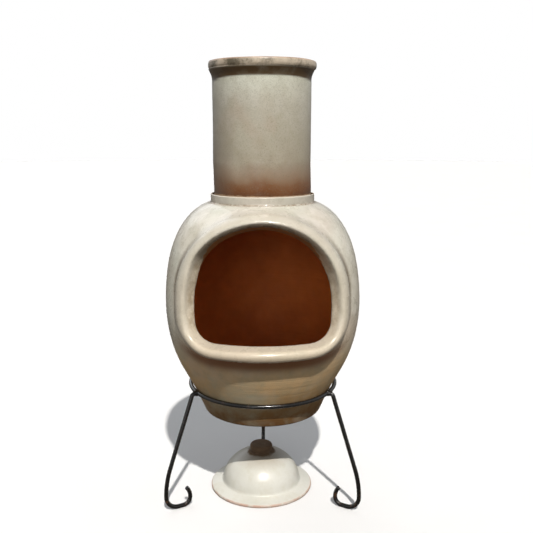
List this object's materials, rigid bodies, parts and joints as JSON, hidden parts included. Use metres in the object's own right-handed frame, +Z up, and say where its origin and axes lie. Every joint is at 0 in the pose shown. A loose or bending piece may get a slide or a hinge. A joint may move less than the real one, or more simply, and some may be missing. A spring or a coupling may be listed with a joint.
{
  "type": "chiminea",
  "caption": "Round-bellied clay garden fireplace with a wide rolled mouth, a lift-off straight flue, a domed lid and a black scroll-footed stand.",
  "frame": {"origin": "on the pot's vertical axis at ground level, which is within a few millimetres of the middle of the footprint", "axes": "+Z up along the pot's axis, -Y out of the fire mouth, +X to the right of a person facing the mouth"},
  "size_m": [0.559, 0.6289, 1.25],
  "materials": {
    "glazed_clay": "mottled cream glaze over red clay, satin gloss",
    "sand": "dry sand",
    "lava_rock": "porous, sooted",
    "black_steel": "satin black paint on round steel bar"
  },
  "bodies": {
    "stand": {"stand_ring": "black_steel", "leg_left": "black_steel", "leg_right": "black_steel", "leg_rear": "black_steel", "leg_welds": "black_steel"},
    "pot": {"fire_bowl": "glazed_clay", "sand_bed": "sand", "lava_stones": "lava_rock"},
    "flue": {"chimney": "glazed_clay"},
    "lid": {"lid": "glazed_clay"}
  },
  "joints": [
    {"name": "pot_lift", "type": "slide", "parent": "stand", "child": "pot", "axis": [0, 0, 1], "range_m": [0, 0.12]},
    {"name": "flue_lift", "type": "slide", "parent": "pot", "child": "flue", "axis": [0, 0, 1], "range_m": [0, 0.05]},
    {"name": "lid_slide", "type": "slide", "parent": "stand", "child": "lid", "axis": [0, -1, 0], "range_m": [0, 0.5]}
  ]
}
